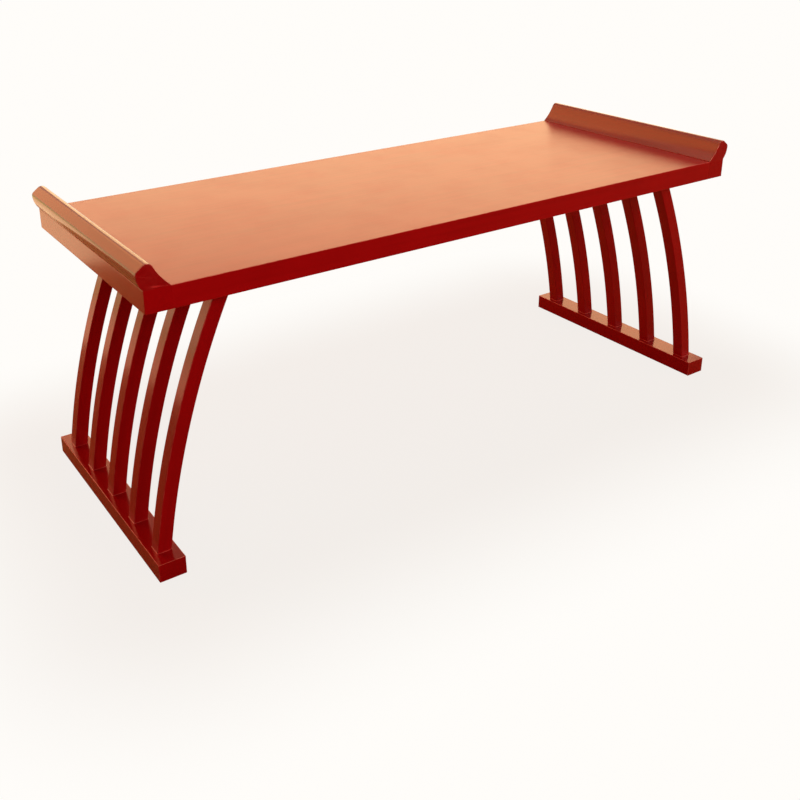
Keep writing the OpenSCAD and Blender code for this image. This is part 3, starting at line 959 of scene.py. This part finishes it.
# %% Lay the backdrop over the floor and the sheet
BACKDROP = (1.0, 0.98, 0.95, 1)
FADE_FROM, FADE_TO = 0.04, 0.42
SHADOW_LIFT = 0.85
FLOOR_MIRRORED = (4.0, 9.0)
SHEET_MIRRORED = (0.5, 2.5)


def seen_directly(tree):
    """1 for the rays that show the backdrop: from the camera, a reflection or through glass."""
    path = tree.nodes.new("ShaderNodeLightPath").outputs
    shown = work_out(tree, "MAXIMUM", path["Is Camera Ray"], path["Is Glossy Ray"])
    return work_out(tree, "MAXIMUM", shown, path["Is Transmission Ray"])


def fade_to_backdrop(tree, shader, place, mirrored):
    """Lays the backdrop's colour over a shader. The distance from the table's footprint is the
    length of max(|place| - half its size, 0). For the camera the share of the backdrop rises
    from SHADOW_LIFT to 1 between the FADE distances, and for reflections and glass it rises
    from 0 to 1 between the two distances in mirrored."""
    folded = work_out_vector(tree, "ABSOLUTE", place)
    outside = work_out_vector(tree, "SUBTRACT", folded, (END, HALF_DEPTH, 0))
    outside = work_out_vector(tree, "MAXIMUM", outside, (0, 0, 0))
    length = tree.nodes.new("ShaderNodeVectorMath")
    length.operation = "LENGTH"
    join(tree, outside, length.inputs[0])
    away = remap(tree, length.outputs["Value"], *mirrored)
    lifted = remap(tree, length.outputs["Value"], FADE_FROM, FADE_TO, SHADOW_LIFT, 1.0)
    path = tree.nodes.new("ShaderNodeLightPath").outputs
    glow = tree.nodes.new("ShaderNodeEmission")
    glow.inputs["Color"].default_value = BACKDROP
    mix = tree.nodes.new("ShaderNodeMixShader")
    output = next(node for node in tree.nodes if node.type == "OUTPUT_MATERIAL")
    share = work_out(tree, "MULTIPLY", away, seen_directly(tree))
    camera_share = work_out(tree, "MULTIPLY", lifted, path["Is Camera Ray"])
    share = work_out(tree, "MAXIMUM", share, camera_share)
    for socket, value in zip(mix.inputs, (share, shader.outputs[0], glow.outputs[0])):
        join(tree, value, socket)
    tree.links.new(mix.outputs[0], output.inputs["Surface"])


stage_finishes = ((floor, matt_brown, FLOOR_MIRRORED), (sheet, matt_tan, SHEET_MIRRORED))
for piece, (material, tree, shader, place), mirrored in stage_finishes:
    fade_to_backdrop(tree, shader, place, mirrored)
    piece.data.materials.append(material)
    print(piece.name, "mirrors the backdrop from", mirrored[0], "m out")

# %% [markdown]
# ## Light
# The table stands in a bright, warm room, and what gives it its look is what it reflects. The
# top mirrors a broad golden window behind it, and the flanges' crests the lowest part of that
# window. Two cards stand close behind on the left: the end face mirrors the low peach one, and
# the slats' upper left faces the lemon one above it. The front faces only take soft light from
# the front. An image of a real room would bring marks of its own, so a few large soft boxes do
# all that. Each is given by its glow, where 1 is as bright as a white card in plain light, and
# its power follows: glow * pi * width * height.

# %% Room
ROOM = (1.0, 0.80, 0.55, 1)


def set_room():
    """A plain warm wall all round, which shows in reflections and gives no light of its own."""
    world = bpy.data.worlds.new("room")
    bpy.context.scene.world = world
    world.use_nodes = True
    tree = world.node_tree
    wall = next(node for node in tree.nodes if node.type == "BACKGROUND")
    wall.inputs["Color"].default_value = ROOM
    join(tree, seen_directly(tree), wall.inputs["Strength"])
    return world


room = set_room()
bpy.context.scene.view_settings.view_transform = "Standard"
print("room:", len(room.node_tree.nodes), "nodes")

# %% Soft boxes
WARM, GOLD, AMBER = (1.0, 0.88, 0.74), (1.0, 0.68, 0.30), (1.0, 0.40, 0.11)
PEACH, LEMON = (0.90, 0.63, 0.35), (0.90, 0.90, 0.31)

# Each box's place, the point it faces, its width and height, its colour and its glow.
SOFT_BOXES = {
    "key": ((-1.9, -2.6, 2.3), (0, 0, 0.3), (2.2, 1.6), WARM, 0.8),
    "front": ((0.6, -3.2, 1.8), (0, 0, 0.3), (2.4, 1.6), WARM, 3.7),
    "front_right": ((2.8, -1.8, 1.6), (0, 0, 0.3), (2.0, 1.6), WARM, 1.4),
    "overhead": ((0.2, 0.3, 2.8), (0, 0, 0.3), (3.0, 2.0), WARM, 0.65),
    "left_fill": ((-3.0, -0.3, 0.7), (0, 0, 0.2), (2.0, 1.2), WARM, 1.0),
    "back_window_low": ((1.75, 2.7, 0.70), (0.1, 0, 0.75), (3.6, 0.6), GOLD, 2.0),
    "back_window": ((1.75, 2.7, 1.30), (0.1, 0, 0.75), (3.6, 0.5), GOLD, 2.3),
    "back_window_top": ((1.75, 2.7, 1.85), (0.1, 0, 0.75), (3.6, 0.6), GOLD, 2.65),
    "left_window": ((-1.5, 2.5, 1.1), (0, 0, 0.4), (1.8, 1.1), AMBER, 1.8),
    "left_window_top": ((-1.2, 2.4, 2.4), (0, 0, 0.4), (2.0, 1.5), AMBER, 2.3),
    "left_card": ((-1.25, 1.12, 0.09), (-1.05, 0, 0.08), (1.4, 0.18), PEACH, 1.8),
    "left_card_top": ((-1.25, 1.12, 0.32), (-1.05, 0, 0.30), (1.4, 0.28), LEMON, 1.2),
}


def add_soft_box(name, at, toward, size, colour, glow):
    """A rectangular lamp that faces a point and isn't seen by the camera."""
    data = bpy.data.lights.new(name, "AREA")
    data.shape = "RECTANGLE"
    data.size, data.size_y = size
    data.color = colour
    data.energy = glow * math.pi * size[0] * size[1]
    lamp = bpy.data.objects.new(name, data)
    way = Vector(toward) - Vector(at)
    lamp.matrix_world = Matrix.Translation(at) @ way.to_track_quat("-Z", "Y").to_matrix().to_4x4()
    lamp.visible_camera = False
    bpy.context.scene.collection.objects.link(lamp)
    return lamp


lamps = [add_soft_box(name, *facts) for name, facts in SOFT_BOXES.items()]
print("soft boxes:", len(lamps))
